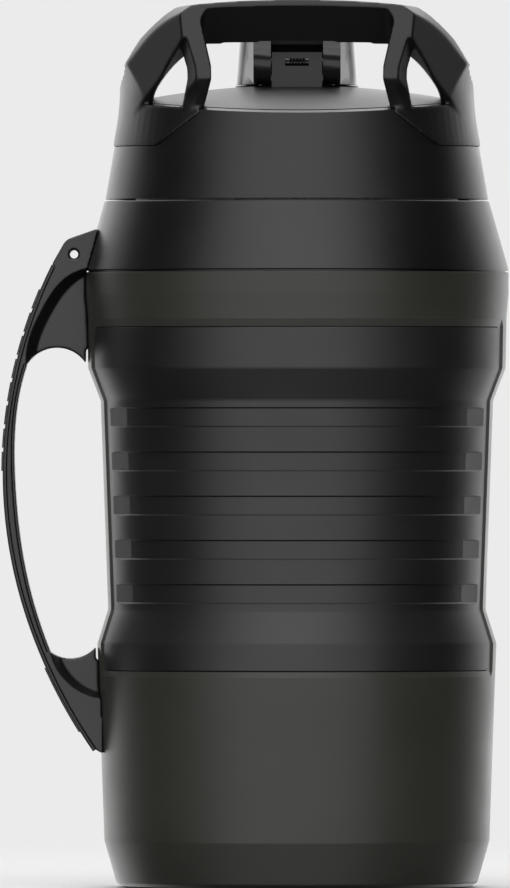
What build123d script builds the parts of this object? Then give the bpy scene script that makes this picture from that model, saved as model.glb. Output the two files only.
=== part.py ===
from build123d import *
import math
import os

# An insulated 1.9 litre drinking jug: a foam-filled double wall, two side grips, a strap handle
# at -X, and a screw lid with a fixed carry handle, a drinking spout and a flip cap.
# Millimetres, +Z up. The front is -Y, and the origin is the centre of the face it stands on.

# Body, as (radius, height) up the outside of the shell
BODY_OUTLINE = [
    (60.6, 0.0),
    (62.3, 1.2),
    (66.4, 15.6),
    (68.8, 83.6),
    (65.1, 95.3),
    (67.7, 167.2),
    (72.0, 178.4),
    (72.3, 195.6),
    (73.0, 204.0),
    (73.0, 211.5),
]
GRIP_ROUNDING = [3.0, 4.0, 4.0, 3.0]
BODY_ROUNDING = [0.9, 2.0, *GRIP_ROUNDING, 6.0, 6.0]
SHELL_TOP = 211.5
SHELL_WALL = 2.2
SHELL_RIM_ROUNDING = 0.5
BASE_PLATE_RADIUS = 57.0
BASE_PLATE_THICKNESS = 3.0

# Side grips, set into pockets in the shell
GRIP_BOTTOM = 74.3
GRIP_TOP = 192.5
GRIP_THICKNESS = 1.8
GRIP_RECESS = 0.7
GRIP_HALF_ANGLE = 77.4
GRIP_CORNER = 5.0
GRIP_EDGE = 0.3
POCKET_GAP = 0.15
POCKET_GAP_ANGLE = 0.15
SLOPE_BOTTOM = 72.0
SLOPE_TOP = 195.1
SLOPE_HALF_ANGLE = 79.3
BAND_COUNT = 5
BAND_FIRST = 97.4
BAND_PITCH = 15.15
BAND_HEIGHT = 6.9
BAND_DEPTH = 0.6
BAND_LEDGE = 0.5
BAND_FADE_ANGLE = 62.0
BAND_HALF_ANGLE = 74.0

# Liner and its neck
LINER_INNER_TOP = 52.5
LINER_INNER_BOTTOM = 51.5
LINER_WALL = 2.0
LINER_FLOOR = 16.0
LINER_CORNER = 9.0
NECK_RADIUS = 55.5
NECK_BOTTOM = 226.0
NECK_TOP = 252.0
NECK_FLANGE_RADIUS = 61.0
NECK_FLANGE_THICKNESS = 2.4

# Four-start thread between the neck and the lid
THREAD_LEAD = 16.0
THREAD_STARTS = 4
THREAD_BASE = 1.7
THREAD_CREST = 0.9
NECK_CREST = 57.1
NECK_THREAD_BOTTOM = 240.0
NECK_THREAD_HEIGHT = 9.0
LID_CREST = 56.2
LID_THREAD_BOTTOM = 240.0
LID_THREAD_HEIGHT = 6.0
LID_THREAD_TURN = 45.0

# Collar
COLLAR_TOP = 236.0
COLLAR_TOP_RADIUS = 66.4
COLLAR_BOTTOM_RADIUS = 73.1
COLLAR_SPIGOT = 6.0
COLLAR_WALL = 2.3
SEAM_HEIGHT = 0.5
SEAM_DEPTH = 1.2

# Lid
LID_BOTTOM = 236.6
LID_BOTTOM_RADIUS = 66.0
LID_RIM_HEIGHT = 270.0
LID_RIM_RADIUS = 60.3
LID_WALL = 2.2
LID_SKIRT_INNER = 57.8
LID_SKIRT_OUTER = 60.1
LID_PLATE_BOTTOM = 254.2
LID_PLATE_TOP = 257.4
PLUG_OUTER = 51.0
PLUG_INNER = 49.0
PLUG_BOTTOM = 245.0
SEAL_INNER = 52.2
SEAL_OUTER = 56.4
DECK_TOP = 275.9
DECK_RADIUS_X = 296.0
DECK_RADIUS_Y = 188.0
DECK_THICKNESS = 2.4
DECK_EDGE = 57.6

# Spout and cap, on an axis behind the middle of the lid
SPOUT_Y = 16.5
SPOUT_BORE = 10.5
SPOUT_OUTER = 13.0
SPOUT_BOTTOM = 254.2
SPOUT_TOP = 296.0
SPOUT_FLANGE_RADIUS = 16.5
BOSS_RADIUS = 21.2
BOSS_BOTTOM = 267.4
BOSS_TOP = 276.0
CAP_BOTTOM = 276.3
CAP_TOP = 305.0
CAP_BASE_RADIUS = 21.0
CAP_TOP_RADIUS = 18.9
CAP_TOP_ROUNDING = 3.6
CAP_WALL = 2.0
CAP_CHEEK_FRONT = -5.0
CAP_CHEEK_HALF_WIDTH = 20.7
CAP_CHEEK_TOP = 298.0
CAP_CHEEK_DRAFT = 1.6
CAP_SEAL_RADIUS = 14.6
CAP_SEAL_THICKNESS = 2.4

# Cap hinge
PIN_Y = -9.5
PIN_Z = 283.7
PIN_RADIUS = 1.5
PIN_HALF_LENGTH = 14.6
PIN_FIT = 0.05
KNUCKLE_RADIUS = 7.6
KNUCKLE_INNER_X = 9.0
KNUCKLE_OUTER_X = 15.0
BRACKET_HALF_WIDTH = 8.6
BRACKET_FRONT = -16.5
BRACKET_REAR = -5.5
BRACKET_TOP = 287.1
BRACKET_SWING = 7.9
CAP_SWING = 8.4
WINDOW_HALF_WIDTH = 4.1
WINDOW_HEIGHT = 2.6
SPRING_WIRE = 0.4
SPRING_COIL_RADIUS = 2.4
SPRING_PITCH = 1.1
SPRING_TURNS = 5
SPRING_POCKET_HALF_WIDTH = 4.6
SPRING_POCKET_RADIUS = 3.6

# Cap latch, behind the cap
LATCH_PIN_Y = 43.4
LATCH_PIN_Z = 278.6
LATCH_PIN_RADIUS = 1.0
LATCH_HALF_WIDTH = 6.0
LATCH_EAR = 2.2
LATCH_EAR_GAP = 0.3
LATCH_EAR_RADIUS = 3.2
LATCH_POCKET_HALF_WIDTH = 2.6
LATCH_POCKET_RADIUS = 2.0
LATCH_SPRING_PITCH = 0.7
LATCH_SPRING_TURNS = 5
LATCH_SPRING_RADIUS = 1.4
LATCH_SPRING_WIRE = 0.25
CATCH_ROOT_Y = 35.5
CATCH_HALF_WIDTH = 3.4
CATCH_Y = 38.7
CATCH_Z = 280.0

# Carry handle: its outside as ellipses (height, half width, half depth), cut back by a flat facet
# on the front of each leg and by a taper toward the front (height, half width at y = 0)
ARCH_TOP = 304.6
ARCH_SECTIONS = [
    (254.0, 63.4, 63.5),
    (262.0, 62.0, 62.1),
    (270.0, 61.2, 62.5),
    (278.0, 61.2, 69.0),
    (286.0, 63.2, 78.5),
    (294.0, 66.0, 89.0),
    (306.0, 70.0, 108.0),
]
FACET_POINT = (39.7, -55.0, 290.2)
FACET_AZIMUTH = 57.0
FACET_TILT = -5.0
ARCH_TAPER = [(254.0, 68.0), (274.0, 68.0), (282.3, 66.8), (286.4, 65.4), (290.5, 64.0), (294.6, 62.2),
              (298.8, 59.3), (302.5, 54.4), (306.0, 49.0)]
TAPER_SLOPE = 0.325
# Its openings and struts, seen from the front as (half width, height)
ARCH_WINDOW = [(48.0, 266.0), (49.2, 271.5), (46.2, 277.4), (37.8, 286.0), (31.0, 289.2)]
ARCH_BAR_LOW = 290.2
ARCH_MOUTH = [(53.0, 266.0), (52.5, 273.0), (48.0, 281.0), (39.5, 290.5), (31.0, 301.4)]
ARCH_MOUTH_TOP = 302.2
ARCH_CROWN_REACH = 41.5
ARCH_CROWN_DROP = 2.4
ARCH_FRONT = -56.0
ARCH_REAR = -40.0
SKIRT_PROUD = 0.5
SKIRT_RECESS = 0.9
SKIRT_BOTTOM = 254.6
SKIRT_REAR = 27.0
SKIRT_SCREW_Y = 10.0
SKIRT_SCREW_Z = 263.5
SKIRT_SCREW_HEAD = 58.25
SKIRT_SCREW_TIP = 60.5
SKIRT_SCREW_RADIUS = 1.3
SKIRT_SCREW_HEAD_RADIUS = 2.4
STRUT_OUTER = [(42.1, 301.3), (38.4, 293.6), (34.7, 281.4), (34.4, 277.4), (36.4, 267.0)]
STRUT_INNER = [(32.1, 267.0), (29.4, 277.4), (29.5, 281.9), (32.9, 296.8), (32.7, 299.4), (31.2, 301.6),
               (28.4, 302.6)]
STRUT_FLARE = 3.2

# Side handle, seen from the front as (x, height)
HANDLE_HALF_WIDTH = 11.0
HANDLE_OUTSIDE = [
    (-84.5, 214.1),
    (-93.0, 193.5),
    (-99.5, 166.7),
    (-101.4, 142.9),
    (-97.8, 108.9),
    (-86.9, 75.9),
    (-70.3, 46.4),
]
HANDLE_FINGER_SIDE = [(-84.9, 80.7), (-91.6, 101.0), (-97.1, 140.0), (-95.4, 170.5), (-93.0, 179.4)]
HANDLE_SKIN = 1.1
HANDLE_LINING = 0.8
OUTER_PAD_ROUNDING = 0.8
INNER_PAD_ROUNDING = 0.5
SEAM_CHAMFER = 0.35
STRAP_EDGE_LENGTH = 90.0
WEB_HALF_WIDTH = 6.4
UPPER_STEP = [(-60.0, 212.8), (-71.8, 212.8), (-79.2, 209.8), (-87.8, 198.7), (-92.4, 188.0), (-93.2, 178.0)]
UPPER_STEP_FOOT = [(-60.0, 211.0), (-72.4, 210.9), (-80.6, 203.8), (-85.1, 196.6), (-88.9, 188.0),
                   (-90.0, 178.0)]
LOWER_STEP = [(-85.2, 84.0), (-82.7, 74.8), (-74.8, 66.9), (-60.0, 65.2)]
LOWER_STEP_FOOT = [(-83.0, 84.0), (-80.4, 76.2), (-74.0, 69.2), (-60.0, 67.4)]
LANYARD_X = -76.8
LANYARD_Z = 217.6
LANYARD_RADIUS = 1.5
LANYARD_CHAMFER = 0.6
RIB_COUNT = 8
RIB_FIRST = 143.0
RIB_PITCH = 8.0
RIB_HEIGHT = 6.6
RIB_HALF_WIDTH = 6.5
RIB_PROUD = 0.5
PAD_SPAN = (53.0, 75.0)
SCREW_RADIUS = 1.6
SCREW_HEAD_RADIUS = 3.2
SCREW_HEAD = 2.0
SCREW_HEAD_GAP = 0.6
SCREW_LENGTH = 10.0
HANDLE_SCREW_Y = 3.6
HANDLE_SCREW_HEIGHTS = [58.0, 202.0]


def turned(points):
    """A solid turned about +Z from (radius, height) corners."""
    return revolve(Plane.XZ * polygon(*points), axis=Axis.Z)


def along_y(face, low, high):
    """A front-view outline carried from y = low to y = high."""
    return extrude(Plane.XZ.offset(-high) * face, amount=high - low, dir=(0, -1, 0))


def along_x(face, low, high):
    """A side-view outline carried from x = low to x = high."""
    return extrude(Plane.YZ.offset(low) * face, amount=high - low, dir=(1, 0, 0))


def polygon(*points):
    return make_face(Polyline(*points, close=True))


def disc(radius, low, high, y=0.0):
    """An upright cylinder from height low to high."""
    return Pos(0, y, low) * extrude(Circle(radius), amount=high - low)


def rod_x(radius, low, high, y, z):
    """A cylinder that lies along X."""
    return extrude(Plane.YZ.offset(low) * Pos(y, z) * Circle(radius), amount=high - low)


def block(x, y, z):
    """A box from three (low, high) pairs."""
    return Pos(x[0], y[0], z[0]) * Box(
        x[1] - x[0], y[1] - y[0], z[1] - z[0], align=(Align.MIN, Align.MIN, Align.MIN)
    )


def mirrored(shape):
    """The shape and its twin across the YZ plane."""
    return shape + mirror(shape, about=Plane.YZ)


# Body of the jug


def wall_radius(height):
    """The radius of the shell's outside at a height."""
    for (low_r, low_z), (high_r, high_z) in zip(BODY_OUTLINE, BODY_OUTLINE[1:]):
        if low_z <= height <= high_z:
            share = (height - low_z) / (high_z - low_z)
            return low_r + share * (high_r - low_r)
    return BODY_OUTLINE[-1][0]


def wall_strip(low, high, inset):
    """(radius, height) points up the wall between two heights, moved in by inset."""
    heights = [low] + [z for _, z in BODY_OUTLINE if low < z < high] + [high]
    return [(wall_radius(z) - inset, z) for z in heights]


def body_block():
    """The solid inside the shell's outer surface."""
    outside = FilletPolyline(*BODY_OUTLINE, radius=BODY_ROUNDING)
    closing = Polyline(BODY_OUTLINE[-1], (0, SHELL_TOP), (0, 0), BODY_OUTLINE[0])
    body = revolve(Plane.XZ * make_face([outside, closing]), axis=Axis.Z)
    return fillet(body.faces().sort_by(Axis.Z)[-1].edges(), SHELL_RIM_ROUNDING)


def sector(outline, half_angle, facing):
    """An outline turned half_angle either side of a direction in degrees."""
    piece = revolve(Plane.XZ * outline, axis=Axis.Z, revolution_arc=2 * half_angle)
    return Rot(0, 0, facing - half_angle) * piece


def fading_cut(points, depth, half_angle, end_angle, facing):
    """Cutters that fade out, by moving outward by depth, from half_angle to end_angle."""
    near_outline = polygon(*points)
    far_outline = polygon(*[(radius + depth, z) for radius, z in points])
    cutters = [sector(near_outline, half_angle, facing)]
    for side in (-1, 1):
        near = Rot(0, 0, facing + side * half_angle) * (Plane.XZ * near_outline)
        far = Rot(0, 0, facing + side * end_angle) * (Plane.XZ * far_outline)
        cutters.append(loft([near, far], ruled=True))
    return cutters


def grip_pocket(facing):
    """The space cut into the shell for one grip: a deep seat inside a wide sloping margin."""
    bottom = GRIP_BOTTOM - POCKET_GAP
    top = GRIP_TOP + POCKET_GAP
    half_angle = GRIP_HALF_ANGLE + POCKET_GAP_ANGLE
    depth = GRIP_RECESS + GRIP_THICKNESS
    seat = wall_strip(bottom, top, depth) + wall_strip(bottom, top, -1)[::-1]
    seat = sector(polygon(*seat), half_angle, facing)
    corners = [e for e in seat.edges() if e.length < 1.05 * (depth + 1)]
    seat = fillet(corners, GRIP_CORNER + POCKET_GAP)
    low_run = bottom - SLOPE_BOTTOM
    high_run = SLOPE_TOP - top
    margin = wall_strip(bottom, top, GRIP_RECESS)
    reach = 2 * GRIP_RECESS
    margin = [(margin[0][0] + reach, bottom - 2 * low_run)] + margin
    margin += [(margin[-1][0] + reach, top + 2 * high_run)]
    return [seat] + fading_cut(margin, GRIP_RECESS, half_angle, SLOPE_HALF_ANGLE, facing)


def inner_space():
    """The hollow inside the shell, thicker-walled behind the grips."""
    points = [(0, 0)]
    points += [(BASE_PLATE_RADIUS, 0), (BASE_PLATE_RADIUS, BASE_PLATE_THICKNESS + 1)]
    points += wall_strip(10.0, SLOPE_BOTTOM - 2, SHELL_WALL)
    points += wall_strip(SLOPE_BOTTOM, SLOPE_TOP, SHELL_WALL + GRIP_RECESS + GRIP_THICKNESS)
    points += wall_strip(SLOPE_TOP + 2, SHELL_TOP, SHELL_WALL)
    points += [(0, SHELL_TOP)]
    return turned(points)


def outer_shell():
    shell = body_block() - inner_space()
    for cutter in grip_pocket(-90) + grip_pocket(90):
        shell -= cutter
    return shell - screw_shanks(SCREW_RADIUS)


def base_plate():
    return disc(BASE_PLATE_RADIUS, 0, BASE_PLATE_THICKNESS)


def grip(facing):
    inside = wall_strip(GRIP_BOTTOM, GRIP_TOP, GRIP_RECESS + GRIP_THICKNESS)
    outside = wall_strip(GRIP_BOTTOM + GRIP_EDGE, GRIP_TOP - GRIP_EDGE, GRIP_RECESS)
    outside = [(outside[0][0] - GRIP_EDGE, GRIP_BOTTOM)] + outside
    outside += [(outside[-1][0] - GRIP_EDGE, GRIP_TOP)]
    closing = Polyline(outside[-1], *reversed(inside), outside[0])
    rounding = [GRIP_EDGE, *GRIP_ROUNDING, GRIP_EDGE]
    outline = make_face([FilletPolyline(*outside, radius=rounding), closing])
    sleeve = sector(outline, GRIP_HALF_ANGLE, facing)
    ends = (GRIP_BOTTOM, GRIP_TOP)
    corners = [
        e for e in sleeve.edges()
        if 0.6 * GRIP_THICKNESS < e.length < 1.05 * GRIP_THICKNESS
        and min(abs(e.center().Z - z) for z in ends) < 0.05
    ]
    sleeve = fillet(corners, GRIP_CORNER)
    for index in range(BAND_COUNT):
        low = BAND_FIRST + index * BAND_PITCH
        high = low + BAND_HEIGHT
        floor = wall_strip(low + BAND_LEDGE, high - BAND_LEDGE, GRIP_RECESS + BAND_DEPTH)
        mouth = wall_strip(low - BAND_LEDGE, high + BAND_LEDGE, GRIP_RECESS - BAND_DEPTH)
        points = floor + mouth[::-1]
        for cutter in fading_cut(points, BAND_DEPTH, BAND_FADE_ANGLE, BAND_HALF_ANGLE, facing):
            sleeve -= cutter
    return sleeve


def liner_outline(inset, floor, top):
    """(radius, height) corners of the liner's hollow, grown by inset."""
    return [
        (0, floor),
        (LINER_INNER_BOTTOM - LINER_CORNER, floor),
        (LINER_INNER_BOTTOM + inset - 0.3 * LINER_CORNER, floor + 0.3 * LINER_CORNER),
        (LINER_INNER_BOTTOM + inset, floor + LINER_CORNER),
        (LINER_INNER_TOP + inset, top),
        (0, top),
    ]


def thread(root, crest, low, height, turn):
    """Four helical ridges that stand from the root radius to the crest radius."""
    middle = 0.5 * (root + crest)
    outline = polygon(
        (root, -0.5 * THREAD_BASE),
        (crest, -0.5 * THREAD_CREST),
        (crest, 0.5 * THREAD_CREST),
        (root, 0.5 * THREAD_BASE),
    )
    path = Helix(pitch=THREAD_LEAD, height=height, radius=middle)
    ridge = sweep(Plane.XZ * outline, path=path, is_frenet=True)
    ridges = []
    for index in range(THREAD_STARTS):
        ridges.append(Pos(0, 0, low) * Rot(0, 0, turn + index * 360 / THREAD_STARTS) * ridge)
    return ridges


def inner_liner():
    liner = turned(liner_outline(LINER_WALL, LINER_FLOOR - LINER_WALL, NECK_BOTTOM))
    liner += disc(NECK_RADIUS, NECK_BOTTOM, NECK_TOP)
    liner += disc(NECK_FLANGE_RADIUS, NECK_BOTTOM, NECK_BOTTOM + NECK_FLANGE_THICKNESS)
    for ridge in thread(NECK_RADIUS - 0.3, NECK_CREST, NECK_THREAD_BOTTOM, NECK_THREAD_HEIGHT, 0):
        liner += ridge
    return liner - turned(liner_outline(0, LINER_FLOOR, NECK_TOP))


def collar():
    spigot_radius = wall_radius(SHELL_TOP) - SHELL_WALL
    flange_top = NECK_BOTTOM + NECK_FLANGE_THICKNESS
    steepness = (COLLAR_BOTTOM_RADIUS - COLLAR_TOP_RADIUS) / (COLLAR_TOP - SHELL_TOP)
    wall_at_flange = COLLAR_BOTTOM_RADIUS - COLLAR_WALL - steepness * (flange_top - SHELL_TOP)
    hollow_radius = spigot_radius - 2
    hollow_top = SHELL_TOP + (COLLAR_BOTTOM_RADIUS - COLLAR_WALL - hollow_radius) / steepness
    seam_radius = COLLAR_BOTTOM_RADIUS - SEAM_DEPTH
    return turned([
        (NECK_RADIUS + 0.2, flange_top),
        (wall_at_flange, flange_top),
        (hollow_radius, hollow_top),
        (hollow_radius, SHELL_TOP - COLLAR_SPIGOT),
        (spigot_radius, SHELL_TOP - COLLAR_SPIGOT),
        (spigot_radius, SHELL_TOP),
        (seam_radius, SHELL_TOP),
        (seam_radius, SHELL_TOP + SEAM_HEIGHT),
        (COLLAR_BOTTOM_RADIUS - 0.4, SHELL_TOP + SEAM_HEIGHT),
        (COLLAR_BOTTOM_RADIUS - 0.1, SHELL_TOP + SEAM_HEIGHT + 0.4),
        (COLLAR_TOP_RADIUS, COLLAR_TOP - 0.4),
        (COLLAR_TOP_RADIUS - 0.5, COLLAR_TOP),
        (NECK_RADIUS + 0.2, COLLAR_TOP),
    ])


def foam_insulation():
    """Foam between the shell and the liner, clear of both by a hair."""
    foam = inner_space() - disc(BASE_PLATE_RADIUS + 1, 0, BASE_PLATE_THICKNESS)
    foam -= disc(COLLAR_BOTTOM_RADIUS, SHELL_TOP - COLLAR_SPIGOT, SHELL_TOP)
    foam -= turned(liner_outline(LINER_WALL, LINER_FLOOR - LINER_WALL, NECK_BOTTOM))
    return foam - screw_heads(SCREW_HEAD_GAP) - screw_shanks(SCREW_RADIUS)


# Side handle


def screw_places():
    """(x under the head, y, height) of the four screws that hold the side handle."""
    places = []
    for z in HANDLE_SCREW_HEIGHTS:
        head_x = -wall_radius(z) + SHELL_WALL + SCREW_HEAD_GAP
        places += [(head_x, -HANDLE_SCREW_Y, z), (head_x, HANDLE_SCREW_Y, z)]
    return places


def screw_shanks(radius):
    return Compound([rod_x(radius, x - SCREW_LENGTH, x, y, z) for x, y, z in screw_places()])


def screw_heads(clearance):
    radius = SCREW_HEAD_RADIUS + clearance
    return Compound([rod_x(radius, x - clearance, x + SCREW_HEAD, y, z) for x, y, z in screw_places()])


def handle_screws():
    """Four screws, driven outward from inside the shell."""
    screws = []
    for x, y, z in screw_places():
        head = rod_x(SCREW_HEAD_RADIUS, x, x + SCREW_HEAD, y, z)
        screws.append(head + rod_x(SCREW_RADIUS, x - SCREW_LENGTH, x, y, z))
    return screws


def shifted(points, distance):
    """Outline points moved sideways, to the left of the direction of travel."""
    moved = []
    for index, (x, z) in enumerate(points):
        before = points[max(index - 1, 0)]
        after = points[min(index + 1, len(points) - 1)]
        run_x = after[0] - before[0]
        run_z = after[1] - before[1]
        length = math.hypot(run_x, run_z)
        moved.append((x - distance * run_z / length, z + distance * run_x / length))
    return moved


def handle_outline(inset):
    """The handle's outline from the front, with the strap's outside moved in by inset."""
    outside = shifted(HANDLE_OUTSIDE, inset)
    crown = [(-62.0, 226.6), (-69.0, 226.4), (-79.6, 222.7), HANDLE_OUTSIDE[0]]
    head = FilletPolyline(*crown, radius=[1.0, 5.0])
    ledge = Line(HANDLE_OUTSIDE[0], outside[0])
    strap = Spline(*outside)
    foot = Polyline(outside[-1], (-67.4, 45.8), (-60.0, 45.8), (-60.0, 76.0), (-69.3, 78.0), (-69.3, 82.4))
    lower = ThreePointArc((-69.3, 82.4), (-77.3, 78.4), HANDLE_FINGER_SIDE[0])
    seat = shifted(HANDLE_FINGER_SIDE, HANDLE_LINING)
    low_end = Line(HANDLE_FINGER_SIDE[0], seat[0])
    high_end = Line(seat[-1], HANDLE_FINGER_SIDE[-1])
    fingers = Spline(*seat)
    upper = ThreePointArc(HANDLE_FINGER_SIDE[-1], (-83.2, 185.4), (-72.7, 179.9))
    neck = Polyline((-72.7, 179.9), (-72.7, 185.0), (-62.0, 187.0), (-62.0, 226.6))
    return make_face([head, ledge, strap, foot, lower, low_end, fingers, high_end, upper, neck])


def web_pockets():
    """Cutters that slope down from the strap's sides to the two webs that join it to the body."""
    steps = [
        (UPPER_STEP, UPPER_STEP_FOOT, [(-60.0, 178.0)]),
        (LOWER_STEP, LOWER_STEP_FOOT, [(-60.0, 84.0)]),
    ]
    cutters = []
    for rim, foot, corner in steps:
        rim_face = make_face([Spline(*rim), Polyline(rim[-1], *corner, rim[0])])
        foot_face = make_face([Spline(*foot), Polyline(foot[-1], *corner, foot[0])])
        for side in (-1, 1):
            outer = Plane.XZ.offset(side * HANDLE_HALF_WIDTH) * rim_face
            inner = Plane.XZ.offset(side * WEB_HALF_WIDTH) * foot_face
            cutters.append(loft([outer, inner], ruled=True))
    return cutters


def jug_outside():
    """Everything inside the outer surface of the shell and the collar."""
    return body_block() + turned([
        (0, SHELL_TOP),
        (COLLAR_BOTTOM_RADIUS, SHELL_TOP),
        (COLLAR_BOTTOM_RADIUS, SHELL_TOP + 0.4),
        (COLLAR_TOP_RADIUS, COLLAR_TOP),
        (0, COLLAR_TOP),
    ])


def side_handle():
    handle = along_y(handle_outline(HANDLE_SKIN), -HANDLE_HALF_WIDTH, HANDLE_HALF_WIDTH)
    for cutter in web_pockets():
        handle -= cutter
    rims = [e for e in handle.edges() if abs(abs(e.center().Y) - HANDLE_HALF_WIDTH) < 0.01]
    handle = chamfer([e for e in rims if e.length > STRAP_EDGE_LENGTH], SEAM_CHAMFER)
    handle -= jug_outside()
    handle -= screw_shanks(SCREW_RADIUS)
    hole = Pos(LANYARD_X, LANYARD_Z) * Circle(LANYARD_RADIUS)
    handle -= along_y(hole, -HANDLE_HALF_WIDTH, HANDLE_HALF_WIDTH)
    rims = handle.edges().filter_by(GeomType.CIRCLE)
    rims = [e for e in rims if abs(e.center().Z - LANYARD_Z) < 1 and abs(e.radius - LANYARD_RADIUS) < 0.01]
    return chamfer(rims, LANYARD_CHAMFER)


def strip(points, depth):
    """A strip beside a curve: between its points and the same points moved left by depth."""
    far = shifted(points, depth)
    return make_face([Spline(*points), Line(points[-1], far[-1]), Spline(*far), Line(far[0], points[0])])


def strap_pad(points, depth, rounding):
    """A soft pad along a side of the strap, with its exposed long edges rounded."""
    pad = along_y(strip(points, depth), -HANDLE_HALF_WIDTH, HANDLE_HALF_WIDTH)
    face = make_face([Spline(*points), Line(points[-1], points[0])])
    exposed = along_y(face, -HANDLE_HALF_WIDTH, HANDLE_HALF_WIDTH)
    length = max(e.length for e in exposed.edges())
    long_edges = [e for e in pad.edges() if abs(e.length - length) < 0.001]
    return fillet(long_edges, rounding)


def side_handle_outer_grip():
    """The soft outside of the strap, with a row of raised ribs and a thin pad at its foot."""
    grip_strip = strap_pad(HANDLE_OUTSIDE, HANDLE_SKIN, OUTER_PAD_ROUNDING)
    raised = along_y(strip(HANDLE_OUTSIDE, -RIB_PROUD), -RIB_HALF_WIDTH, RIB_HALF_WIDTH)
    pad = block((-110, -60), (-20, 20), PAD_SPAN)
    slabs = [block((-110, -60), (-20, 20), (low, low + RIB_HEIGHT)) for low in rib_heights()]
    for slab in slabs + [pad]:
        grip_strip += raised & slab
    return grip_strip


def rib_heights():
    return [RIB_FIRST + index * RIB_PITCH for index in range(RIB_COUNT)]


def side_handle_inner_grip():
    """The soft lining on the finger side of the strap."""
    return strap_pad(HANDLE_FINGER_SIDE, HANDLE_LINING, INNER_PAD_ROUNDING)


# Lid


def lid_radius(height):
    """The radius of the lid cone at a height."""
    share = (height - LID_BOTTOM) / (LID_RIM_HEIGHT - LID_BOTTOM)
    return LID_BOTTOM_RADIUS + share * (LID_RIM_RADIUS - LID_BOTTOM_RADIUS)


def cone_ring(inset, proud, low, high):
    """A ring that follows the lid cone, from inset inside its surface to proud outside it."""
    return turned([
        (lid_radius(low) - inset, low),
        (lid_radius(low) + proud, low),
        (lid_radius(high) + proud, high),
        (lid_radius(high) - inset, high),
    ])


def lid_block():
    """Everything inside the lid's outer surface."""
    high = LID_RIM_HEIGHT + 4
    low = LID_BOTTOM - 10
    cone = turned([(0, low), (lid_radius(low), low), (lid_radius(high), high), (0, high)])
    return cone & dome(0)


def dome(drop):
    """Everything below the deck's barrel-shaped top, lowered by drop."""
    reach = 72.0
    edge = DECK_TOP - DECK_RADIUS_Y + math.sqrt(DECK_RADIUS_Y**2 - reach**2) - drop
    floor = LID_BOTTOM - 30
    section = make_face([
        ThreePointArc((-reach, edge), (0, DECK_TOP - drop), (reach, edge)),
        Polyline((reach, edge), (reach, floor), (-reach, floor), (-reach, edge)),
    ])
    rolling_axis = Axis((0, 0, DECK_TOP - drop - DECK_RADIUS_X), (0, 1, 0))
    half_angle = 16.0
    barrel = revolve(Plane.YZ * section, axis=rolling_axis, revolution_arc=2 * half_angle)
    return barrel.rotate(rolling_axis, -half_angle)


def skirt_zone():
    """The two patches at the sides of the lid cone that the carry handle covers."""
    ring = cone_ring(SKIRT_RECESS, SKIRT_PROUD, SKIRT_BOTTOM, LID_RIM_HEIGHT + 4)
    patch = polygon((80, SKIRT_BOTTOM), (48.3, SKIRT_BOTTOM), (33.5, 265.7), (33.5, 280), (80, 280))
    sides = mirrored(along_y(patch, -70, SKIRT_REAR))
    return ring & sides & dome(-0.3)


def lid_cover():
    high = LID_RIM_HEIGHT + 4
    cover = cone_ring(LID_WALL, 0, LID_BOTTOM, high) & dome(0)
    ledge_top = LID_PLATE_TOP + 1.8
    cover += turned([
        (DECK_EDGE + 0.3, LID_PLATE_TOP + 0.1),
        (lid_radius(LID_PLATE_TOP) - 1, LID_PLATE_TOP + 0.1),
        (lid_radius(ledge_top) - 1, ledge_top),
        (DECK_EDGE + 0.3, ledge_top),
    ])
    cover -= skirt_zone()
    return cover - Compound(carry_handle_screws())


def lid_deck():
    """The dome inside the cover's rim, with the round boss that the spout stands in."""
    deck = dome(0) - dome(DECK_THICKNESS)
    deck = deck & disc(DECK_EDGE, LID_PLATE_TOP, DECK_TOP + 1)
    legs = disc(DECK_EDGE, LID_PLATE_TOP, DECK_TOP) - disc(DECK_EDGE - 2.2, LID_PLATE_TOP, DECK_TOP)
    deck += legs & dome(0.5)
    deck += disc(BOSS_RADIUS, BOSS_BOTTOM, BOSS_TOP, SPOUT_Y)
    ears = latch_ears()
    deck += ears
    return deck - disc(SPOUT_OUTER + 0.1, BOSS_BOTTOM - 5, BOSS_TOP + 5, SPOUT_Y)


def lid_body():
    """The threaded part of the lid: plate, plug, skirt and its inside thread."""
    body = disc(LID_SKIRT_OUTER, LID_PLATE_BOTTOM, LID_PLATE_TOP)
    body += turned([
        (LID_SKIRT_INNER, LID_BOTTOM + 1.4),
        (LID_SKIRT_OUTER, LID_BOTTOM + 1.4),
        (LID_SKIRT_OUTER, LID_PLATE_TOP),
        (LID_SKIRT_INNER, LID_PLATE_TOP),
    ])
    body += disc(PLUG_OUTER, PLUG_BOTTOM, LID_PLATE_TOP)
    body -= disc(PLUG_INNER, PLUG_BOTTOM, LID_PLATE_BOTTOM)
    ridges = thread(LID_SKIRT_INNER + 0.3, LID_CREST, LID_THREAD_BOTTOM, LID_THREAD_HEIGHT, LID_THREAD_TURN)
    for ridge in ridges:
        body += ridge
    return body - disc(SPOUT_OUTER + 0.1, LID_PLATE_BOTTOM - 1, LID_PLATE_TOP + 1, SPOUT_Y)


def lid_seal():
    ring = disc(SEAL_OUTER, NECK_TOP, LID_PLATE_BOTTOM)
    return ring - disc(SEAL_INNER, NECK_TOP, LID_PLATE_BOTTOM)


def lid_insulation():
    foam = dome(DECK_THICKNESS + 0.2) & disc(DECK_EDGE - 2.4, LID_PLATE_TOP, DECK_TOP)
    return foam - disc(BOSS_RADIUS + 0.2, LID_PLATE_TOP, DECK_TOP, SPOUT_Y)


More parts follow.
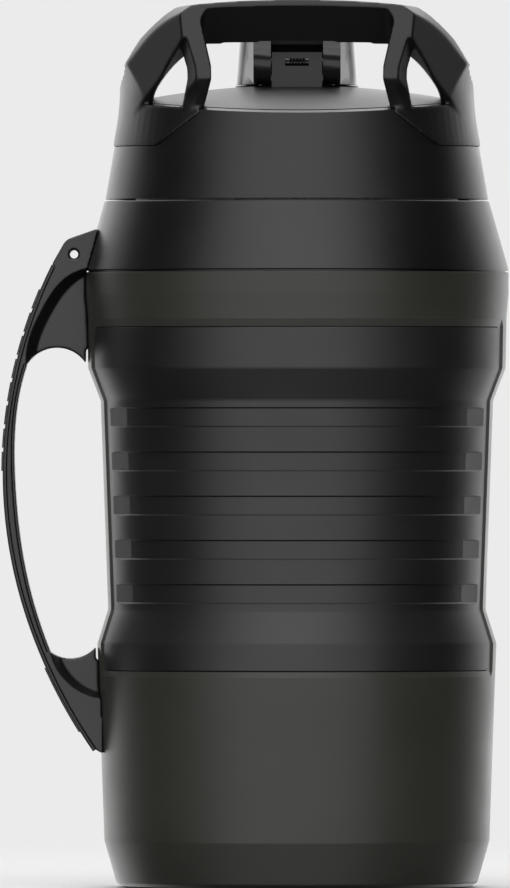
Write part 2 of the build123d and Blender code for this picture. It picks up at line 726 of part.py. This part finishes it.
def spout():
    """The drinking tube, with a flange that sits under the deck's boss."""
    tube = disc(SPOUT_OUTER, SPOUT_BOTTOM, SPOUT_TOP, SPOUT_Y)
    tube += disc(SPOUT_FLANGE_RADIUS, BOSS_BOTTOM - 2.4, BOSS_BOTTOM, SPOUT_Y)
    rim = tube.edges().filter_by(GeomType.CIRCLE).sort_by(Axis.Z)[-1]
    tube = fillet(rim, 0.9)
    return tube - disc(SPOUT_BORE, SPOUT_BOTTOM, SPOUT_TOP, SPOUT_Y)


def spout_seal():
    low = LID_PLATE_TOP
    high = BOSS_BOTTOM - 2.4
    ring = disc(SPOUT_FLANGE_RADIUS, low, high, SPOUT_Y)
    return ring - disc(SPOUT_OUTER, low, high, SPOUT_Y)


# Flip cap and its hinge


def hinge_bracket():
    """The fixed middle of the hinge: a block with a pin hole, a window and a spring pocket."""
    side = BRACKET_HALF_WIDTH
    head = block((-side, side), (BRACKET_FRONT, BRACKET_REAR), (PIN_Z - 3, BRACKET_TOP))
    head = head & rod_x(BRACKET_SWING, -side, side, PIN_Y, PIN_Z)
    foot = block((-side, side), (BRACKET_FRONT, BRACKET_REAR), (BOSS_BOTTOM, PIN_Z - 3))
    body = head + foot - dome(0)
    body -= rod_x(PIN_RADIUS + PIN_FIT, -20, 20, PIN_Y, PIN_Z)
    pocket = SPRING_POCKET_HALF_WIDTH
    body -= rod_x(SPRING_POCKET_RADIUS, -pocket, pocket, PIN_Y, PIN_Z)
    body -= block((-pocket, pocket), (PIN_Y - 2, PIN_Y + BRACKET_SWING), (PIN_Z, BRACKET_TOP + 1))
    half = WINDOW_HALF_WIDTH
    window = (PIN_Z - 0.5 * WINDOW_HEIGHT, PIN_Z + 0.5 * WINDOW_HEIGHT)
    return body - block((-half, half), (BRACKET_FRONT - 1, PIN_Y), window)


def hinge_pin():
    return rod_x(PIN_RADIUS, -PIN_HALF_LENGTH, PIN_HALF_LENGTH, PIN_Y, PIN_Z)


def coil(pitch, turns, radius, wire):
    """A helical spring that stands on the origin."""
    path = Helix(pitch=pitch, height=pitch * turns, radius=radius)
    start = Plane(origin=path @ 0, z_dir=path % 0)
    return sweep(start * Circle(wire), path=path)


def cap_spring():
    """A torsion spring round the hinge pin."""
    spring = coil(SPRING_PITCH, SPRING_TURNS, SPRING_COIL_RADIUS, SPRING_WIRE)
    half = 0.5 * SPRING_PITCH * SPRING_TURNS
    return Pos(-half, PIN_Y, PIN_Z) * Rot(0, 90, 0) * spring


def cap_outline(inset, low, top):
    """(radius, height) corners of half of the cap's section."""
    slope = (CAP_TOP_RADIUS - CAP_BASE_RADIUS) / (CAP_TOP - CAP_BOTTOM)
    base = CAP_BASE_RADIUS + slope * (low - CAP_BOTTOM) - inset
    crown = CAP_BASE_RADIUS + slope * (top - CAP_BOTTOM) - inset
    return [(0, low), (base, low), (crown, top), (0, top)]


def cap_cheeks(inset):
    """The flat cheeks that run from the hinge knuckles to the round of the cap, from above."""
    front = (KNUCKLE_OUTER_X - inset, CAP_CHEEK_FRONT + inset)
    back = (CAP_CHEEK_HALF_WIDTH - inset, SPOUT_Y - 3)
    middle = (CAP_CHEEK_HALF_WIDTH - inset, SPOUT_Y)
    right = [front, back, middle]
    left = [(-x, y) for x, y in reversed(right)]
    return polygon(*right, *left)


def spout_cap():
    """A hollow tapered cap with two hinge knuckles in front and a catch behind."""
    outside = turned(cap_outline(0, CAP_BOTTOM, CAP_TOP))
    rim = outside.edges().filter_by(GeomType.CIRCLE).sort_by(Axis.Z)[-1]
    outside = Pos(0, SPOUT_Y, 0) * fillet(rim, CAP_TOP_ROUNDING)
    inside = Pos(0, SPOUT_Y, 0) * turned(cap_outline(CAP_WALL, CAP_BOTTOM - 1, CAP_TOP - CAP_WALL))
    arms = []
    for low, high in ((KNUCKLE_INNER_X, KNUCKLE_OUTER_X), (-KNUCKLE_OUTER_X, -KNUCKLE_INNER_X)):
        knuckle = rod_x(KNUCKLE_RADIUS, low, high, PIN_Y, PIN_Z)
        rib = polygon((PIN_Y - 5.2, PIN_Z + 5.5), (PIN_Y + 2.0, CAP_TOP - 7), (4.0, CAP_TOP - 7),
                      (4.0, CAP_BOTTOM + 0.3), (PIN_Y, CAP_BOTTOM + 0.3))
        arms.append(knuckle + along_x(rib, low, high))
    low_outline = Pos(0, 0, CAP_BOTTOM) * cap_cheeks(0)
    high_outline = Pos(0, 0, CAP_CHEEK_TOP) * cap_cheeks(CAP_CHEEK_DRAFT)
    cheeks = loft([low_outline, high_outline], ruled=True)
    cap = outside + cheeks + arms[0] + arms[1]
    catch = polygon((CATCH_ROOT_Y, CATCH_Z - 2.0), (CATCH_Y, CATCH_Z - 1.2), (CATCH_Y, CATCH_Z),
                    (CATCH_ROOT_Y, CATCH_Z))
    cap += along_x(catch, -CATCH_HALF_WIDTH, CATCH_HALF_WIDTH)
    cap -= inside
    half = KNUCKLE_INNER_X
    cap -= rod_x(CAP_SWING, -half, half, PIN_Y, PIN_Z) & block((-half, half), (-30, 2), (270, CAP_TOP))
    return cap - rod_x(PIN_RADIUS + PIN_FIT, -20, 20, PIN_Y, PIN_Z)


def cap_seal():
    """The soft disc in the cap that closes the spout."""
    disc_top = SPOUT_TOP + CAP_SEAL_THICKNESS
    seal = disc(CAP_SEAL_RADIUS, SPOUT_TOP, disc_top, SPOUT_Y)
    stem = disc(CAP_SEAL_RADIUS - 5, disc_top, CAP_TOP - CAP_WALL, SPOUT_Y)
    return seal + stem


# Latch


def latch_ears():
    """Two ears on the deck that carry the latch pin."""
    inner = LATCH_HALF_WIDTH + LATCH_EAR_GAP
    outer = inner + LATCH_EAR
    ear = rod_x(LATCH_EAR_RADIUS, inner, outer, LATCH_PIN_Y, LATCH_PIN_Z)
    ear += block((inner, outer), (LATCH_PIN_Y - 3.2, LATCH_PIN_Y + 3.2), (266, LATCH_PIN_Z))
    ear -= dome(DECK_THICKNESS - 0.5)
    ear -= rod_x(LATCH_PIN_RADIUS, -20, 20, LATCH_PIN_Y, LATCH_PIN_Z)
    return mirrored(ear)


def latch_button():
    """A rocker: pressing the pad below the pin lifts the hook above it off the cap's catch."""
    tip_y = CATCH_Y + 0.45
    rocker = polygon(
        (tip_y, CATCH_Z + 0.6),
        (tip_y + 1.6, CATCH_Z - 0.6),
        (LATCH_PIN_Y - 2.2, LATCH_PIN_Z - 1.0),
        (LATCH_PIN_Y - 0.6, LATCH_PIN_Z - 5.0),
        (LATCH_PIN_Y + 3.2, LATCH_PIN_Z - 6.4),
        (LATCH_PIN_Y + 4.6, LATCH_PIN_Z - 5.6),
        (LATCH_PIN_Y + 3.0, LATCH_PIN_Z + 1.0),
        (LATCH_PIN_Y + 0.6, LATCH_PIN_Z + 5.4),
        (tip_y + 0.4, LATCH_PIN_Z + 5.8),
    )
    button = along_x(rocker, -LATCH_HALF_WIDTH, LATCH_HALF_WIDTH)
    pocket = LATCH_POCKET_HALF_WIDTH
    button -= rod_x(LATCH_POCKET_RADIUS, -pocket, pocket, LATCH_PIN_Y, LATCH_PIN_Z)
    return button - rod_x(LATCH_PIN_RADIUS + PIN_FIT, -20, 20, LATCH_PIN_Y, LATCH_PIN_Z)


def latch_spring():
    """A torsion spring round the latch pin."""
    spring = coil(LATCH_SPRING_PITCH, LATCH_SPRING_TURNS, LATCH_SPRING_RADIUS, LATCH_SPRING_WIRE)
    half = 0.5 * LATCH_SPRING_PITCH * LATCH_SPRING_TURNS
    return Pos(-half, LATCH_PIN_Y, LATCH_PIN_Z) * Rot(0, 90, 0) * spring


def latch_pin():
    half = LATCH_HALF_WIDTH + LATCH_EAR_GAP + LATCH_EAR
    return rod_x(LATCH_PIN_RADIUS, -half, half, LATCH_PIN_Y, LATCH_PIN_Z)


# Carry handle


def facet_side(side):
    """Everything behind the flat facet of one leg."""
    azimuth = math.radians(FACET_AZIMUTH)
    tilt = math.radians(FACET_TILT)
    x, y, z = FACET_POINT
    outward = (side * math.sin(azimuth) * math.cos(tilt), -math.cos(azimuth) * math.cos(tilt), math.sin(tilt))
    size = 400
    return Plane(origin=(side * x, y, z), z_dir=outward) * Pos(0, 0, -size / 2) * Box(size, size, size)


def tapered_sides():
    """The arch's outline from the front, which narrows from back to front."""
    outlines = []
    for y in (SKIRT_REAR, ARCH_FRONT):
        right = [(half_width + TAPER_SLOPE * y, z) for z, half_width in ARCH_TAPER]
        left = [(-x, z) for x, z in reversed(right)]
        face = make_face([Spline(*right), Line(right[-1], left[0]), Spline(*left), Line(left[-1], right[0])])
        outlines.append(Plane.XZ.offset(-y) * face)
    return loft(outlines, ruled=True)


def arch_outside():
    """The rounded block that the arch is cut from, narrowing upward."""
    sections = [Pos(0, 0, z) * Rot(0, 0, 90) * Ellipse(deep, across) for z, across, deep in ARCH_SECTIONS]
    crown_radius = (ARCH_CROWN_REACH**2 + ARCH_CROWN_DROP**2) / (2 * ARCH_CROWN_DROP)
    crown = along_y(Pos(0, ARCH_TOP - crown_radius) * Circle(crown_radius), ARCH_FRONT, SKIRT_REAR)
    return loft(sections) & crown & tapered_sides() & facet_side(1) & facet_side(-1)


def window_outline(points, middle):
    """An opening under the arch, from its right-hand side and the height of its top."""
    right = Spline(*points)
    bar = ThreePointArc(points[-1], (0, middle), (-points[-1][0], points[-1][1]))
    left = Spline(*[(-x, z) for x, z in reversed(points)])
    sill = Polyline((-points[0][0], points[0][1]), points[0])
    return make_face([right, bar, left, sill])


def arch_side_view():
    """The arch from the side: the legs lean forward from the skirts up to the bar."""
    return make_face([
        Polyline((-41.0, ARCH_TOP + 1), (ARCH_FRONT, ARCH_TOP + 1), (ARCH_FRONT, 291.0),
                 (-46.5, 281.0), (-28.5, 267.8), (-19.0, 261.3), (-19.0, SKIRT_BOTTOM), (22.0, SKIRT_BOTTOM)),
        Spline((22.0, SKIRT_BOTTOM), (14.0, 266.0), (0.0, 275.0), (-21.5, 283.0), (-28.0, 290.5),
               (-34.5, 295.0), (-39.5, 299.0), (-41.0, ARCH_TOP + 1)),
    ])


def hand_space():
    """The room behind the bar and between the legs."""
    right = [(36.0, ARCH_REAR), (50.0, -14.0), (50.0, 40.0)]
    left = [(-x, y) for x, y in reversed(right)]
    return Pos(0, 0, LID_BOTTOM) * extrude(polygon(*right, *left), amount=80)


def strut():
    """One front strut, from the bar down to the rim of the lid."""
    flare = [(x + STRUT_FLARE, z) for x, z in reversed(STRUT_OUTER)]
    front = polygon(*STRUT_OUTER, *STRUT_INNER)
    back = polygon(*reversed(flare), *STRUT_INNER)
    depth = 6.0
    front_face = Plane.XZ.offset(-ARCH_FRONT) * front
    body = loft([front_face, Plane.XZ.offset(-ARCH_FRONT - depth) * back], ruled=True)
    body += along_y(back, ARCH_FRONT + depth, ARCH_FRONT + 2 * depth)
    side = polygon((ARCH_FRONT, 310), (ARCH_FRONT, 277.4), (ARCH_FRONT + 7.2, 266.0),
                   (ARCH_FRONT + 13, 266.0), (ARCH_FRONT + 7.0, 278.5), (ARCH_FRONT + 7.0, 310))
    return body & along_x(side, 0, 60)


def carry_handle():
    outside = arch_outside()
    arch = outside & along_x(arch_side_view(), -80, 80)
    window = window_outline(ARCH_WINDOW, ARCH_BAR_LOW)
    mouth = window_outline(ARCH_MOUTH, ARCH_MOUTH_TOP)
    arch -= along_y(window, ARCH_FRONT - 5, SKIRT_REAR + 5)
    arch -= loft([Plane.XZ.offset(-ARCH_REAR) * window, Plane.XZ.offset(-ARCH_FRONT) * mouth], ruled=True)
    arch -= hand_space()
    arch += mirrored(strut()) & outside
    handle = arch - lid_block() + skirt_zone()
    return handle - skirt_screw_holes()


def skirt_screws(radius, head_radius):
    """Two screws at each side, driven outward from under the deck into the skirts."""
    screws = []
    for y in (-SKIRT_SCREW_Y, SKIRT_SCREW_Y):
        shank = rod_x(radius, SKIRT_SCREW_HEAD, SKIRT_SCREW_TIP, y, SKIRT_SCREW_Z)
        head = rod_x(head_radius, SKIRT_SCREW_HEAD - 1.1, SKIRT_SCREW_HEAD, y, SKIRT_SCREW_Z)
        screws += [shank + head, mirror(shank + head, about=Plane.YZ)]
    return screws


def carry_handle_screws():
    return skirt_screws(SKIRT_SCREW_RADIUS, SKIRT_SCREW_HEAD_RADIUS)


def skirt_screw_holes():
    return Compound(skirt_screws(SKIRT_SCREW_RADIUS, SKIRT_SCREW_RADIUS))


PARTS = {
    "outer_shell": outer_shell,
    "base_plate": base_plate,
    "foam_insulation": foam_insulation,
    "inner_liner": inner_liner,
    "collar": collar,
    "front_grip": lambda: grip(-90),
    "rear_grip": lambda: grip(90),
    "side_handle": side_handle,
    "side_handle_outer_grip": side_handle_outer_grip,
    "side_handle_inner_grip": side_handle_inner_grip,
    "handle_screws": handle_screws,
    "lid_seal": lid_seal,
    "lid_cover": lid_cover,
    "lid_deck": lid_deck,
    "lid_body": lid_body,
    "lid_insulation": lid_insulation,
    "carry_handle": carry_handle,
    "carry_handle_screws": carry_handle_screws,
    "spout": spout,
    "spout_seal": spout_seal,
    "hinge_bracket": hinge_bracket,
    "hinge_pin": hinge_pin,
    "cap_spring": cap_spring,
    "spout_cap": spout_cap,
    "cap_seal": cap_seal,
    "latch_button": latch_button,
    "latch_pin": latch_pin,
    "latch_spring": latch_spring,
}


os.makedirs("parts", exist_ok=True)
for name, make in PARTS.items():
    shape = make()
    if isinstance(shape, list):
        shape = Compound(shape)
    export_step(shape, f"parts/{name}.step")
    print(name, "written", flush=True)
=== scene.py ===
import math

import bpy
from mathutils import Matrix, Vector


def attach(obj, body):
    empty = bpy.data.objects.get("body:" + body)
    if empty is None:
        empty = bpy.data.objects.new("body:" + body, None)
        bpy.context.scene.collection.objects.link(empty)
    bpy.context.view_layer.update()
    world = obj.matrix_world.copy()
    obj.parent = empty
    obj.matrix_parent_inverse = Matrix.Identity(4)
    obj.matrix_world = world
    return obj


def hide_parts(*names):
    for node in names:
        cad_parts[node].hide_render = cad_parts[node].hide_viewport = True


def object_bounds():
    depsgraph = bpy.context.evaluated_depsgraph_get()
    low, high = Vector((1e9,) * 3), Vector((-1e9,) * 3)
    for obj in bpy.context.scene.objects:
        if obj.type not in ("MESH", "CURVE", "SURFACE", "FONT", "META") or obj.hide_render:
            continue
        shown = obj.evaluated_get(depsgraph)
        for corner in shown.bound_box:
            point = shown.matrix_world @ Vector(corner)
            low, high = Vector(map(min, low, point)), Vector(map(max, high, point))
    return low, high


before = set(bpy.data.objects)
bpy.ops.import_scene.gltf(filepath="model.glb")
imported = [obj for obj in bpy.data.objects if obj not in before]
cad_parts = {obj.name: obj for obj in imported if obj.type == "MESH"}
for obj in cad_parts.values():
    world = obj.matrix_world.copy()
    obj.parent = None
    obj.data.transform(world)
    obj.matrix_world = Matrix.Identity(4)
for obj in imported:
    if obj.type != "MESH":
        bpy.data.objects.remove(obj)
cad_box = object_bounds()
low, high = cad_box

# Camera, in metres and millimetres of sensor. It stands far back, so that it sees the jug almost
# without perspective. The jug fills the height of the frame, measured at SHARED_DEPTH towards the
# camera from the jug's axis.
CAMERA_DISTANCE = 8.2
SHARED_DEPTH = 0.02
FRAME_MARGIN = 1.0016
SENSOR = 36.0
CLIP_DISTANCE = 24.6

# Studio, as brightness by direction in degrees. The azimuth is 0 in front of the jug and 180
# behind it, and the elevation is 90 overhead.
BACKGROUND = 0.83
BRIGHTEST = 3.0
KEY_AZIMUTH = -5.0
KEY_LIGHT = [(0, 1.45), (25, 1.42), (42, 1.1), (60, 0.1), (75, 0.0), (180, 0.0)]
RIM_AZIMUTH = 2.0
RIM_LIGHT = [(0, 0.0), (113, 0.0), (126, 0.65), (138, 1.5), (152, 2.1), (180, 2.1)]
UP_THE_ROOM = [
    (-90, 0.0),
    (-50, 0.0),
    (-35, 0.2),
    (-18, 0.7),
    (-4, 0.9),
    (20, 0.7),
    (31, 0.68),
    (42, 1.5),
    (90, 1.6),
]
CEILING_FROM = 58.0
CEILING_TO = 72.0
CEILING_BRIGHTNESS = 1.7

# Floor, in metres
FLOOR_REACH = 3.0
FLOOR_GAP = 0.0005
FLOOR_FADE = (0.15, 1.0)
FLOOR_COLOUR = 0.69
FLOOR_ROUGHNESS = 0.8
FLOOR_SPECULAR = 0.2

# Colours
OLIVE = (0.03, 0.0294, 0.0245)
BLACK = (0.005, 0.005, 0.0052)
RUBBER = (0.008, 0.008, 0.0082)
DARK_GREY = (0.012, 0.012, 0.0123)
SPOUT_GREY = (0.05, 0.05, 0.0505)
LINER_WHITE = (0.62, 0.62, 0.6)
SILICONE_GREY = (0.2, 0.2, 0.2)
FOAM_CREAM = (0.75, 0.72, 0.6)
BLACKENED_STEEL = (0.09, 0.09, 0.093)
SPRING_STEEL = (0.06, 0.06, 0.062)

# Soft patches of colour and gloss: how many there are in a metre, what share of the colour's
# variation is theirs and not the grain's, and which part of the noise's range is used
PATCHES_PER_METRE = 28.0
PATCH_SHARE = 0.6
TINT_RANGE = (0.35, 0.65)
GLOSS_RANGE = (0.3, 0.7)

# Scuffs run round the jug, so their noise is stretched that way
SCUFFS_PER_METRE = (30, 30, 900)
SCUFF_RANGE = (0.66, 0.74)
SCUFF_LIGHTENING = 2.2
SCUFF_DULLING = 0.1

# Drawn metal has its grain along x
DRAWN = (0.05, 1, 1)

# Sockets of the Mix node that are for colours
MIX_A = 6
MIX_B = 7
MIX_RESULT = 2

# Rounding of edges, in metres and degrees
BEVELLED_PARTS = ("spout_cap", "hinge_bracket")
BEVEL_WIDTH = 0.0003
BEVEL_SEGMENTS = 3
BEVEL_ANGLE = 25.0
WELD_DISTANCE = 0.000002
SOFT_VOXEL = 0.0005
SMOOTH_FACTOR = 0.5
CARRY_HANDLE_ROUNDS = 10
SIDE_HANDLE_ROUNDS = 4


def look_at(obj, target):
    direction = Vector(target) - obj.location
    obj.rotation_euler = direction.to_track_quat("-Z", "Y").to_euler()


def make_camera():
    height = (high.z - low.z) * FRAME_MARGIN
    data = bpy.data.cameras.new("camera")
    data.sensor_width = SENSOR
    data.lens = SENSOR * (CAMERA_DISTANCE - SHARED_DEPTH) / height
    data.clip_end = CLIP_DISTANCE
    camera = bpy.data.objects.new("camera", data)
    bpy.context.scene.collection.objects.link(camera)
    middle_x = (low.x + high.x) / 2
    middle_z = high.z - height / 2
    camera.location = (middle_x, -CAMERA_DISTANCE, middle_z)
    look_at(camera, (middle_x, 0, middle_z))
    bpy.context.scene.camera = camera


class Graph:
    """Adds nodes to a node tree, and links whatever is passed as a socket."""

    def __init__(self, tree):
        self.tree = tree

    def add(self, kind, inputs=None, **settings):
        node = self.tree.nodes.new(kind)
        for name, value in settings.items():
            setattr(node, name, value)
        for key, value in (inputs or {}).items():
            if isinstance(value, bpy.types.NodeSocket):
                self.tree.links.new(value, node.inputs[key])
            else:
                node.inputs[key].default_value = value
        return node

    def math(self, operation, *values):
        return self.add("ShaderNodeMath", dict(enumerate(values)), operation=operation).outputs[0]

    def rescale(self, value, from_range, to_range, interpolation="LINEAR"):
        inputs = {"Value": value, "From Min": from_range[0], "From Max": from_range[1],
                  "To Min": to_range[0], "To Max": to_range[1]}
        return self.add("ShaderNodeMapRange", inputs, interpolation_type=interpolation).outputs[0]

    def blend(self, share, colour_a, colour_b):
        inputs = {0: share, MIX_A: colour_a, MIX_B: colour_b}
        return self.add("ShaderNodeMix", inputs, data_type="RGBA").outputs[MIX_RESULT]

    def profile(self, value, points):
        """Brightness in straight runs between (value, brightness) points."""
        start, end = points[0][0], points[-1][0]
        ramp = self.add("ShaderNodeValToRGB", {0: self.rescale(value, (start, end), (0, 1))})
        stops = ramp.color_ramp.elements
        while len(stops) < len(points):
            stops.new(0.5)
        for stop, (position, brightness) in zip(stops, points):
            stop.position = (position - start) / (end - start)
            share = brightness / BRIGHTEST
            stop.color = (share, share, share, 1)
        ramp.color_ramp.interpolation = "LINEAR"
        return self.math("MULTIPLY", ramp.outputs[0], BRIGHTEST)


def aimed(graph, azimuth, centre, points):
    """Brightness by the angle from a centre, the same on both sides of it."""
    turned = graph.math("WRAP", graph.math("SUBTRACT", azimuth, centre), 180.0, -180.0)
    return graph.profile(graph.math("ABSOLUTE", turned), points)


def make_world():
    """A soft key light in front, dark flanks, bright rims behind and a bright ceiling."""
    world = bpy.data.worlds.new("studio")
    world.use_nodes = True
    bpy.context.scene.world = world
    graph = Graph(world.node_tree)
    world.node_tree.nodes.clear()
    direction = graph.add("ShaderNodeTexCoord").outputs["Generated"]
    split = graph.add("ShaderNodeSeparateXYZ", {0: direction})
    x, y, z = split.outputs
    toward_camera = graph.math("MULTIPLY", y, -1.0)
    azimuth = graph.math("DEGREES", graph.math("ARCTAN2", x, toward_camera))
    around = graph.math("ADD", aimed(graph, azimuth, KEY_AZIMUTH, KEY_LIGHT),
                        aimed(graph, azimuth, RIM_AZIMUTH, RIM_LIGHT))
    elevation = graph.math("DEGREES", graph.math("ARCSINE", z))
    upward = graph.profile(elevation, UP_THE_ROOM)
    walls = graph.math("MULTIPLY", around, upward)
    ceiling = graph.rescale(elevation, (CEILING_FROM, CEILING_TO), (0, 1))
    kept = graph.math("MULTIPLY", walls, graph.math("SUBTRACT", 1.0, ceiling))
    strength = graph.math("ADD", kept, graph.math("MULTIPLY", ceiling, CEILING_BRIGHTNESS))
    room = graph.add("ShaderNodeBackground", {"Color": (1, 1, 1, 1), "Strength": strength})
    backdrop = graph.add("ShaderNodeBackground", {"Color": (BACKGROUND, BACKGROUND, BACKGROUND, 1)})
    seen = graph.add("ShaderNodeLightPath").outputs["Is Camera Ray"]
    mix = graph.add("ShaderNodeMixShader", {0: seen, 1: room.outputs[0], 2: backdrop.outputs[0]})
    graph.add("ShaderNodeOutputWorld", {"Surface": mix.outputs[0]})


def make_floor():
    """A pale floor that fades into the backdrop away from the jug."""
    mesh = bpy.data.meshes.new("floor")
    ends = (-FLOOR_REACH, FLOOR_REACH)
    z = low.z - FLOOR_GAP
    corners = [(ends[0], ends[0], z), (ends[1], ends[0], z), (ends[1], ends[1], z), (ends[0], ends[1], z)]
    mesh.from_pydata(corners, [], [(0, 1, 2, 3)])
    floor = bpy.data.objects.new("floor", mesh)
    bpy.context.scene.collection.objects.link(floor)
    material, graph, shader = new_material("floor")
    shader.inputs["Base Color"].default_value = (FLOOR_COLOUR, FLOOR_COLOUR, FLOOR_COLOUR, 1)
    shader.inputs["Roughness"].default_value = FLOOR_ROUGHNESS
    shader.inputs["Specular IOR Level"].default_value = FLOOR_SPECULAR
    position = graph.add("ShaderNodeTexCoord").outputs["Object"]
    distance = graph.add("ShaderNodeVectorMath", {0: position}, operation="LENGTH").outputs["Value"]
    fade = graph.rescale(distance, FLOOR_FADE, (0, 1), interpolation="SMOOTHSTEP")
    clear = graph.add("ShaderNodeBsdfTransparent")
    mix = graph.add("ShaderNodeMixShader", {0: fade, 1: shader.outputs[0], 2: clear.outputs[0]})
    surface = material.node_tree.nodes["Material Output"].inputs["Surface"]
    material.node_tree.links.new(mix.outputs[0], surface)
    mesh.materials.append(material)
    floor.visible_glossy = False


def new_material(name):
    material = bpy.data.materials.new(name)
    material.use_nodes = True
    return material, Graph(material.node_tree), material.node_tree.nodes["Principled BSDF"]


def scaled(colour, factor):
    """A colour made darker or lighter, with full opacity."""
    return (*[channel * factor for channel in colour], 1)


def moulded(name, colour, roughness, grain=0.0005, depth=0.00001, mottle=0.06, polish=0.05,
            scuffs=0.0, stretch=(1, 1, 1), pores=False, specular=0.5, metallic=0.0):
    """Moulded plastic or rubber, foam or drawn metal, with sizes in metres.

    A fine grain makes the bump, broad soft patches change the colour by mottle and the
    roughness by polish, and thin scuffs lighten the colour and dull the gloss.
    """
    material, graph, shader = new_material(name)
    position = graph.add("ShaderNodeTexCoord").outputs["Object"]
    stretched = graph.add("ShaderNodeMapping", {"Vector": position, "Scale": stretch}).outputs[0]
    if pores:
        surface = graph.add("ShaderNodeTexVoronoi", {"Vector": stretched, "Scale": 1 / grain})
    else:
        surface = graph.add("ShaderNodeTexNoise", {"Vector": stretched, "Scale": 1 / grain, "Detail": 3.0})
    height = surface.outputs[0]
    noise = {"Vector": position, "Scale": PATCHES_PER_METRE, "Detail": 4.0}
    patches = graph.add("ShaderNodeTexNoise", noise).outputs[0]
    variation = graph.math("ADD", graph.math("MULTIPLY", patches, PATCH_SHARE),
                           graph.math("MULTIPLY", height, 1 - PATCH_SHARE))
    tint = graph.blend(graph.rescale(variation, TINT_RANGE, (0, 1)),
                       scaled(colour, 1 - mottle), scaled(colour, 1 + mottle))
    gloss = graph.rescale(patches, GLOSS_RANGE, (roughness - polish, roughness + polish))
    if scuffs:
        along = graph.add("ShaderNodeMapping", {"Vector": position, "Scale": SCUFFS_PER_METRE}).outputs[0]
        lines = graph.add("ShaderNodeTexNoise", {"Vector": along, "Scale": 1.0, "Detail": 2.0}).outputs[0]
        worn = graph.rescale(lines, SCUFF_RANGE, (0, scuffs))
        tint = graph.blend(worn, tint, scaled(colour, SCUFF_LIGHTENING))
        gloss = graph.math("ADD", gloss, graph.math("MULTIPLY", worn, SCUFF_DULLING))
    bump = graph.add("ShaderNodeBump", {"Height": height, "Distance": depth, "Strength": 1.0})
    links = material.node_tree.links
    links.new(tint, shader.inputs["Base Color"])
    links.new(gloss, shader.inputs["Roughness"])
    links.new(bump.outputs[0], shader.inputs["Normal"])
    shader.inputs["Specular IOR Level"].default_value = specular
    shader.inputs["Metallic"].default_value = metallic
    return material


def make_finishes():
    """The finish of each material slot, and one more for the springs."""
    return {
        "olive_shell": moulded("olive_shell", OLIVE, 0.38, scuffs=0.12),
        "black_shell": moulded("black_shell", BLACK, 0.34, scuffs=0.12, specular=0.7),
        "handle_plastic": moulded("handle_plastic", BLACK, 0.38, depth=0.000015, specular=0.7),
        "deck_plastic": moulded("deck_plastic", DARK_GREY, 0.38),
        "cap_plastic": moulded("cap_plastic", DARK_GREY, 0.2, depth=0.000002, polish=0.03),
        "hinge_plastic": moulded("hinge_plastic", BLACK, 0.33, depth=0.000005),
        "spout_plastic": moulded("spout_plastic", SPOUT_GREY, 0.32),
        "liner": moulded("liner", LINER_WHITE, 0.36, depth=0.000005, mottle=0.02),
        "grip_rubber": moulded("grip_rubber", RUBBER, 0.42, grain=0.0007, depth=0.00002, specular=0.7),
        "handle_rubber": moulded("handle_rubber", RUBBER, 0.44, grain=0.0007, depth=0.00002, specular=0.7),
        "seal_silicone": moulded("seal_silicone", SILICONE_GREY, 0.5, depth=0.000005),
        "foam": moulded("foam", FOAM_CREAM, 0.9, grain=0.0015, depth=0.0004, pores=True),
        "steel": moulded("steel", BLACKENED_STEEL, 0.34, stretch=DRAWN, mottle=0.08, metallic=1.0),
        "spring_steel": moulded("spring_steel", SPRING_STEEL, 0.36, mottle=0.1, metallic=1.0),
    }


def dress_nodes():
    """Give every carried-over part the finish of its material slot."""
    finishes = make_finishes()
    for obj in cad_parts.values():
        for index, material in enumerate(obj.data.materials):
            for slot, finish in finishes.items():
                if material and material.name.startswith(slot):
                    obj.data.materials[index] = finish
    for name in ("cap_spring", "latch_spring"):
        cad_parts[name].data.materials[0] = finishes["spring_steel"]


def round_edges():
    """Round the sharp edges of the moulded parts whose edges catch the light."""
    for name in BEVELLED_PARTS:
        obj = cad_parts[name]
        weld = obj.modifiers.new("weld", "WELD")
        weld.merge_threshold = WELD_DISTANCE
        bevel = obj.modifiers.new("bevel", "BEVEL")
        bevel.width = BEVEL_WIDTH
        bevel.segments = BEVEL_SEGMENTS
        bevel.limit_method = "ANGLE"
        bevel.angle_limit = math.radians(BEVEL_ANGLE)
        bevel.harden_normals = True


def soften(name, body, rounds):
    """A copy of a moulded handle with its edges and bends rounded, which stands for the part."""
    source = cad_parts[name]
    piece = bpy.data.objects.new(name + "_rounded", source.data.copy())
    piece.matrix_world = source.matrix_world
    bpy.context.scene.collection.objects.link(piece)
    remesh = piece.modifiers.new("remesh", "REMESH")
    remesh.mode = "VOXEL"
    remesh.voxel_size = SOFT_VOXEL
    remesh.use_smooth_shade = True
    smooth = piece.modifiers.new("smooth", "SMOOTH")
    smooth.factor = SMOOTH_FACTOR
    smooth.iterations = rounds
    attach(piece, body)
    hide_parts(name)


bpy.context.scene.view_settings.view_transform = "Standard"
make_camera()
make_world()
make_floor()
dress_nodes()
round_edges()
soften("carry_handle", "lid", CARRY_HANDLE_ROUNDS)
soften("side_handle", "jug", SIDE_HANDLE_ROUNDS)
